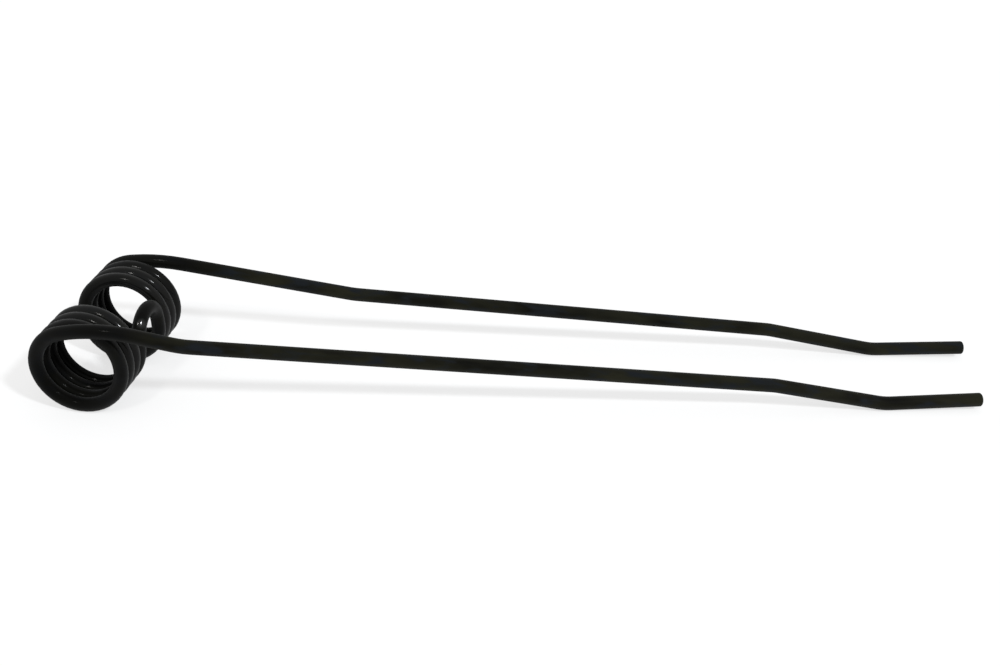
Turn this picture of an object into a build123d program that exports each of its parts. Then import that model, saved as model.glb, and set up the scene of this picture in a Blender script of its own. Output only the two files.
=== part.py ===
"""Double spring tine of a hay rake, bent from one length of round spring wire.

Frame: +X runs out along the arms, +Y is the coil axis and +Z is up, with the tine
lying on its coils and on the low bends near its tips. The origin is on the coil axis,
midway between the coils. Sizes are in millimetres and belong to the wire's centre line.
"""

from build123d import *
from math import ceil, cos, pi, radians, sin, tan
import os

# Wire
wire_d = 8.0
end_round = 0.8

# Coils, wound close: whole turns come before the last three quarters to the loop
coil_r = 23.67
whole_turns = 3
turn_gap = 0.18

# Loop that joins the coils: width is between its legs, height is above the coil axis
loop_width = 28.4
loop_height = 17.7
loop_side_r = 36.0

# Arms: each leaves its coil at an angle before twelve o'clock and bends into a straight
exit_straight = 2.0
near_exit_angle = 17.7
near_exit_run = 23.1
far_exit_angle = 8.6
far_exit_run = 16.4

# Arms: the lean is sideways travel per length, and bends and tips are at (x, z)
first_bend_r = 60.0
outer_bend_r = 35.0
near_lean = 0.2547
near_bends = [(57.8, 17.8), (378.3, -10.7), (443.2, -23.8)]
near_tip = (498.5, -21.8)
far_lean = 0.1896
far_bends = [(127.6, 5.9), (378.3, -11.7), (443.2, -23.8)]
far_tip = (499.0, -21.2)

# Worked out from the sizes above
pitch = wire_d + turn_gap
lead = pitch / (2 * pi * coil_r)
leg_y = loop_width / 2

NEAR, FAR = -1, 1


def coil_turns(exit_angle):
    """Turns from an arm's exit, past twelve o'clock, to the loop's leg at three."""
    return whole_turns + 0.75 - exit_angle / 360


def coil_start(side, exit_angle):
    """The point where an arm leaves its coil."""
    angle = radians(exit_angle)
    y = side * (leg_y + pitch * coil_turns(exit_angle))
    return Vector(-coil_r * sin(angle), y, coil_r * cos(angle))


def coil(side, exit_angle):
    """Wind one coil from its arm to the loop, in even spans of under one turn."""
    start_y = coil_start(side, exit_angle).Y
    start = Plane((0, start_y, 0), x_dir=(0, 0, 1), z_dir=(0, -side, 0)) * Rot(0, 0, side * exit_angle)
    turns = coil_turns(exit_angle)
    spans = ceil(turns)
    span_length = pitch * turns / spans
    span_angle = side * 360 * turns / spans
    span = Helix(pitch, span_length, coil_r, lefthand=side == NEAR)
    return [
        start * Pos(0, 0, i * span_length) * Rot(0, 0, i * span_angle) * span
        for i in range(spans)
    ]


def loop():
    """Rise from both coils at three o'clock and close over in a three-centred arch."""
    outward = Vector(0, 1, lead).normalized()
    side_centre = Vector(coil_r, leg_y, 0) - outward * loop_side_r
    drop = side_centre.Z - loop_height
    top_r = (loop_side_r**2 - side_centre.Y**2 - drop**2) / (2 * (drop + loop_side_r))
    top_centre = Vector(coil_r, 0, loop_height - top_r)
    join = top_centre + (top_centre - side_centre).normalized() * top_r
    top = (coil_r, 0, loop_height)
    with BuildLine() as line:
        for side in (NEAR, FAR):
            leg = (coil_r, side * leg_y, 0)
            TangentArc(leg, (coil_r, side * join.Y, join.Z), tangent=(0, -side * lead, 1))
        ThreePointArc((coil_r, -join.Y, join.Z), top, (coil_r, join.Y, join.Z))
    return line.edges()


def arm(side, exit_angle, exit_run, lean, bends, tip):
    """Leave the coil in line with its last turn, then run out in one leaning plane."""
    start = coil_start(side, exit_angle)
    angle = radians(exit_angle)
    away = Vector(cos(angle), side * lead, sin(angle)).normalized()
    corner = start + away * exit_run
    points = [start, corner]
    for x, z in bends + [tip]:
        points.append(Vector(x, corner.Y + lean * (x - corner.X), z))
    exit_turn = radians(away.get_angle(points[2] - corner))
    exit_r = (exit_run - exit_straight) / tan(exit_turn / 2)
    with BuildLine() as line:
        FilletPolyline(points, radius=[exit_r, first_bend_r, outer_bend_r, outer_bend_r])
    return line.edges()


# Whole tine: one round wire swept from the near tip to the far tip
with BuildPart() as tine_wire:
    near_arm = arm(NEAR, near_exit_angle, near_exit_run, near_lean, near_bends, near_tip)
    far_arm = arm(FAR, far_exit_angle, far_exit_run, far_lean, far_bends, far_tip)
    near_coil = coil(NEAR, near_exit_angle)
    far_coil = coil(FAR, far_exit_angle)
    centre_line = Wire(near_arm + near_coil + loop() + far_coil + far_arm)
    with BuildSketch(Plane(centre_line @ 0, z_dir=centre_line % 0)):
        Circle(wire_d / 2)
    sweep(path=centre_line)
    end_faces = tine_wire.faces().filter_by(GeomType.PLANE)
    fillet(end_faces.edges(), end_round)

tine_wire.part.label = "tine_wire"

os.makedirs("parts", exist_ok=True)
export_step(tine_wire.part, "parts/tine_wire.step")
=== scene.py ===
"""Looks and studio for the rake spring tine: black dipped paint, pale floor, soft light."""

from math import cos, radians, sin

import bpy
from mathutils import Matrix, Vector


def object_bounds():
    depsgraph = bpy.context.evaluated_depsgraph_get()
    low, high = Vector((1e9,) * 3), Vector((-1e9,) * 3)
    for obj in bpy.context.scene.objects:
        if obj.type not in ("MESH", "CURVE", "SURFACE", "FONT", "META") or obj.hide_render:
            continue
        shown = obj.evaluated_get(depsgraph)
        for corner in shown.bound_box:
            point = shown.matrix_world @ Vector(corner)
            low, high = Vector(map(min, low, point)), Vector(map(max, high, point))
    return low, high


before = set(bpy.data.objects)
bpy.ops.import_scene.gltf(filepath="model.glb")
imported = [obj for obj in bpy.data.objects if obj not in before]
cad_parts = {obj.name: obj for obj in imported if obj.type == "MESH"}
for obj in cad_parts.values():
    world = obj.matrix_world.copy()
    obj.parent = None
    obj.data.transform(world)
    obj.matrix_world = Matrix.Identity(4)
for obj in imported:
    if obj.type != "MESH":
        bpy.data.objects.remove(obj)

cad_low, cad_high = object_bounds()

# Camera at the photograph's place: metres, radians, and pixels of the photograph's frame
IMAGE_WIDTH, IMAGE_HEIGHT = 1000, 666
CAMERA_PLACE = Vector((0.2844, -0.5487, 0.3418))
CAMERA_YAW = -0.1655
CAMERA_PITCH = 0.5261
CAMERA_ROLL = 0.0346
FOCAL_PIXELS = 1182.7
CENTRE_X, CENTRE_Y = 440.3, 342.9
SENSOR_WIDTH = 36.0
CLIP_START, CLIP_END = 0.01, 50.0

# Studio: the floor, its share of plain white where it is seen directly, and an even fill
WHITE = (1.0, 1.0, 1.0, 1.0)
FLOOR_SIZE = 12.0
FLOOR_COLOUR = (0.95, 0.95, 0.95, 1.0)
FLOOR_WHITE_SHARE = 0.65
FILL_STRENGTH = 0.6

# Lamps: name, azimuth, elevation and width in degrees, strength, and colour
LAMPS = [
    ("left_lamp", -102, 49, 7.0, 0.60, (1.0, 0.98, 0.95)),
    ("right_lamp", -34, 43, 5.5, 2.0, (0.94, 0.97, 1.0)),
]

# Gloss: two distances in metres, and the share of the gloss at each of them
TURNS_GLOSS = (0.028, 0.046), (1.0, 0.1)
OUTWARD_GLOSS = (0.032, 0.045), (1.0, 0.0)
BACK_GLOSS = (-0.020, -0.008), (0.3, 1.0)
INSIDE_GLOSS = (0.0245, 0.0205), (1.0, 0.2)
LOOP_GLOSS = (0.012, 0.020), (0.2, 1.0)
COAT_WEIGHT = 0.22
COAT_ROUGHNESS = 0.13
COAT_IOR = 1.5

# Spot of thicker gloss on the near leg of the loop
DROP_PLACE = (0.02603, -0.01219, 0.01557)
DROP_RADIUS = 0.0035
DROP_COAT_WEIGHT = 0.93

# Noise: scale and detail, and streaks that are four times as long along the arms as across
STREAKS = (0.25, 1.0, 1.0)
CLOUD_NOISE = (75.0, 3.0)
TINT_NOISE = (190.0, 2.0)
PEEL_NOISE = (900.0, 2.0)
SPECK_NOISE = (2600.0, 1.0)

# Bumps: strength, and depth in metres
PEEL_BUMP = (0.05, 0.00008)
SPECK_BUMP = (0.1, 0.00003)

# Body: tones, and two noise values with the share of a tone, or the roughness, at each
DARK_TONE = (0.0006, 0.0006, 0.0004, 1.0)
OLIVE_TONE = (0.0030, 0.0030, 0.0017, 1.0)
COOL_TONE = (0.0018, 0.0022, 0.0026, 1.0)
OLIVE_SHARE = (0.35, 0.65), (0.0, 1.0)
COOL_SHARE = (0.5, 0.68), (0.0, 1.0)
ROUGHNESS = (0.3, 0.7), (0.5, 0.7)
SPECULAR_LEVEL = 0.015
SHEEN_WEIGHT = 0.05
SHEEN_ROUGHNESS = 0.55

# Dust and painted sheen on the arms, lighter along the arms than on the coils: two distances
# in metres, and what the tones are multiplied by at each
ARM_DUST_AND_SHEEN = (0.030, 0.060), (0.6, 3.8)

# Places of a colour mix's sockets, because their names are not unique
MIX_FACTOR, MIX_LOW, MIX_HIGH, MIX_RESULT = 0, 6, 7, 2


class Nodes:
    """A small helper that adds and links the nodes of one material or world."""

    def __init__(self, owner):
        owner.use_nodes = True
        self.tree = owner.node_tree
        self.tree.nodes.clear()

    def add(self, kind, inputs=None, **settings):
        """Add a node with its settings, and link or set its inputs."""
        node = self.tree.nodes.new(kind)
        for name, value in settings.items():
            setattr(node, name, value)
        for name, value in (inputs or {}).items():
            if isinstance(value, bpy.types.NodeSocket):
                self.tree.links.new(value, node.inputs[name])
            else:
                node.inputs[name].default_value = value
        return node

    def maths(self, operation, *values):
        """Work out a number from one or two others."""
        node = self.add("ShaderNodeMath", dict(enumerate(values)), operation=operation)
        return node.outputs["Value"]

    def vector_maths(self, operation, inputs, result="Vector"):
        """Work out a vector or a number from vectors."""
        node = self.add("ShaderNodeVectorMath", inputs, operation=operation)
        return node.outputs[result]

    def noise(self, place, scale, detail):
        """Smooth noise between zero and one."""
        inputs = {"Vector": place, "Scale": scale, "Detail": detail}
        return self.add("ShaderNodeTexNoise", inputs).outputs["Fac"]

    def bump(self, height, strength, distance, **others):
        """Turn heights into a normal."""
        inputs = {"Height": height, "Strength": strength, "Distance": distance, **others}
        return self.add("ShaderNodeBump", inputs).outputs["Normal"]

    def blend(self, factor, low, high):
        """Mix two colours by a factor."""
        inputs = {MIX_FACTOR: factor, MIX_LOW: low, MIX_HIGH: high}
        return self.add("ShaderNodeMix", inputs, data_type="RGBA").outputs[MIX_RESULT]

    def spread(self, value, from_range, to_range):
        """Map a value from one range to another, held at both ends."""
        node = self.add("ShaderNodeMapRange", {
            "Value": value,
            "From Min": from_range[0], "From Max": from_range[1],
            "To Min": to_range[0], "To Max": to_range[1],
        })
        return node.outputs["Result"]


def gloss_map(nodes, place, axes):
    """Where the paint is glossy: on the inner turns, less on the loop, and not on the arms."""
    aside = nodes.maths("ABSOLUTE", axes["Y"])
    flat = nodes.vector_maths("MULTIPLY", {0: place, 1: (1.0, 0.0, 1.0)})
    radius = nodes.vector_maths("LENGTH", {0: flat}, "Value")
    gloss = nodes.spread(aside, *TURNS_GLOSS)
    for value, shares in (
            (axes["X"], OUTWARD_GLOSS), (axes["X"], BACK_GLOSS),
            (radius, INSIDE_GLOSS), (aside, LOOP_GLOSS)):
        gloss = nodes.maths("MULTIPLY", gloss, nodes.spread(value, *shares))
    return gloss


def black_paint():
    """Dipped black paint: a dull, uneven body, and a glossy skin mostly on the inner turns."""
    material = bpy.data.materials.new("spring_wire")
    nodes = Nodes(material)
    place = nodes.add("ShaderNodeTexCoord").outputs["Object"]
    axes = nodes.add("ShaderNodeSeparateXYZ", {"Vector": place}).outputs
    drawn_out = nodes.vector_maths("MULTIPLY", {0: place, 1: STREAKS})
    cloud = nodes.noise(drawn_out, *CLOUD_NOISE)
    tint = nodes.noise(drawn_out, *TINT_NOISE)
    peel = nodes.noise(place, *PEEL_NOISE)
    speck = nodes.noise(place, *SPECK_NOISE)

    olive = nodes.blend(nodes.spread(cloud, *OLIVE_SHARE), DARK_TONE, OLIVE_TONE)
    body = nodes.blend(nodes.spread(tint, *COOL_SHARE), olive, COOL_TONE)
    # The tones grow lighter along the arms: dust, and a painted sheen that stands in for the
    # arms' reflections
    dust_and_sheen = nodes.spread(axes["X"], *ARM_DUST_AND_SHEEN)
    colour = nodes.vector_maths("SCALE", {0: body, "Scale": dust_and_sheen})

    gloss = gloss_map(nodes, place, axes)
    coat = nodes.spread(gloss, (0.0, 1.0), (0.0, COAT_WEIGHT))
    from_drop = nodes.vector_maths("DISTANCE", {0: place, 1: DROP_PLACE}, "Value")
    drop = nodes.spread(from_drop, (0.0, DROP_RADIUS), (DROP_COAT_WEIGHT, 0.0))

    peel_normal = nodes.bump(peel, *PEEL_BUMP)
    speck_normal = nodes.bump(speck, *SPECK_BUMP, Normal=peel_normal)
    shader = nodes.add("ShaderNodeBsdfPrincipled", {
        "Base Color": colour,
        "Roughness": nodes.spread(cloud, *ROUGHNESS),
        "Specular IOR Level": SPECULAR_LEVEL,
        "Coat Weight": nodes.maths("MAXIMUM", coat, drop),
        "Coat Roughness": COAT_ROUGHNESS,
        "Coat IOR": COAT_IOR,
        "Sheen Weight": SHEEN_WEIGHT,
        "Sheen Roughness": SHEEN_ROUGHNESS,
        "Normal": speck_normal,
        "Coat Normal": peel_normal,
    })
    nodes.add("ShaderNodeOutputMaterial", {"Surface": shader.outputs["BSDF"]})
    return material


def paint_tine():
    """Give the carried-over wire its paint."""
    paint = black_paint()
    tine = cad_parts["tine_wire"]
    for slot in tine.material_slots:
        slot.material = paint


def seen_directly(nodes):
    """One for camera, glossy and transmission rays, which show the white background."""
    path = nodes.add("ShaderNodeLightPath").outputs
    mirrored = nodes.maths("MAXIMUM", path["Is Glossy Ray"], path["Is Transmission Ray"])
    return nodes.maths("MAXIMUM", path["Is Camera Ray"], mirrored)


def floor_white():
    """Matt and pale, with a share of plain white where it is seen directly."""
    material = bpy.data.materials.new("floor_white")
    nodes = Nodes(material)
    matt = nodes.add("ShaderNodeBsdfDiffuse", {"Color": FLOOR_COLOUR})
    white = nodes.add("ShaderNodeEmission", {"Color": WHITE, "Strength": 1.0})
    share = nodes.maths("MULTIPLY", seen_directly(nodes), FLOOR_WHITE_SHARE)
    mixed = nodes.add("ShaderNodeMixShader", {
        0: share, 1: matt.outputs["BSDF"], 2: white.outputs["Emission"]})
    nodes.add("ShaderNodeOutputMaterial", {"Surface": mixed.outputs["Shader"]})
    return material


def make_floor():
    """A wide pale floor that carries the coils and the low bends."""
    mesh = bpy.data.meshes.new("floor")
    half, level = FLOOR_SIZE / 2, cad_low[2]
    outline = (-half, -half), (half, -half), (half, half), (-half, half)
    mesh.from_pydata([(x, y, level) for x, y in outline], [], [(0, 1, 2, 3)])
    mesh.materials.append(floor_white())
    floor = bpy.data.objects.new("floor", mesh)
    bpy.context.scene.collection.objects.link(floor)


def make_world():
    """Even white surroundings: plain fill light, and white where they are seen."""
    world = bpy.data.worlds.new("studio")
    nodes = Nodes(world)
    level = nodes.spread(seen_directly(nodes), (0.0, 1.0), (FILL_STRENGTH, 1.0))
    sky = nodes.add("ShaderNodeBackground", {"Color": WHITE, "Strength": level})
    nodes.add("ShaderNodeOutputWorld", {"Surface": sky.outputs["Background"]})
    bpy.context.scene.world = world


def make_lamps():
    """Two soft, distant lamps, left and right of the camera and above it."""
    for name, azimuth, elevation, width, strength, colour in LAMPS:
        azimuth, elevation = radians(azimuth), radians(elevation)
        towards = Vector((
            cos(elevation) * cos(azimuth), cos(elevation) * sin(azimuth), sin(elevation)))
        data = bpy.data.lights.new(name, "SUN")
        data.energy = strength
        data.color = colour
        data.angle = radians(width)
        lamp = bpy.data.objects.new(name, data)
        lamp.rotation_euler = towards.to_track_quat("Z", "Y").to_euler()
        bpy.context.scene.collection.objects.link(lamp)


def make_camera():
    """Look at the tine from the photograph's side, with a small shift for its framing."""
    data = bpy.data.cameras.new("photo_camera")
    data.sensor_width = SENSOR_WIDTH
    data.lens = SENSOR_WIDTH * FOCAL_PIXELS / IMAGE_WIDTH
    data.shift_x = (IMAGE_WIDTH / 2 - CENTRE_X) / IMAGE_WIDTH
    data.shift_y = (CENTRE_Y - IMAGE_HEIGHT / 2) / IMAGE_WIDTH
    data.clip_start, data.clip_end = CLIP_START, CLIP_END
    forward = Vector((
        sin(CAMERA_YAW) * cos(CAMERA_PITCH),
        cos(CAMERA_YAW) * cos(CAMERA_PITCH),
        -sin(CAMERA_PITCH),
    ))
    level_right = Vector((cos(CAMERA_YAW), -sin(CAMERA_YAW), 0.0))
    level_up = level_right.cross(forward)
    right = level_right * cos(CAMERA_ROLL) + level_up * sin(CAMERA_ROLL)
    up = level_up * cos(CAMERA_ROLL) - level_right * sin(CAMERA_ROLL)
    camera = bpy.data.objects.new("photo_camera", data)
    turn = Matrix((right, up, -forward)).transposed().to_4x4()
    camera.matrix_world = Matrix.Translation(CAMERA_PLACE) @ turn
    bpy.context.scene.collection.objects.link(camera)
    bpy.context.scene.camera = camera


bpy.context.scene.view_settings.view_transform = "Standard"
paint_tine()
make_floor()
make_world()
make_lamps()
make_camera()
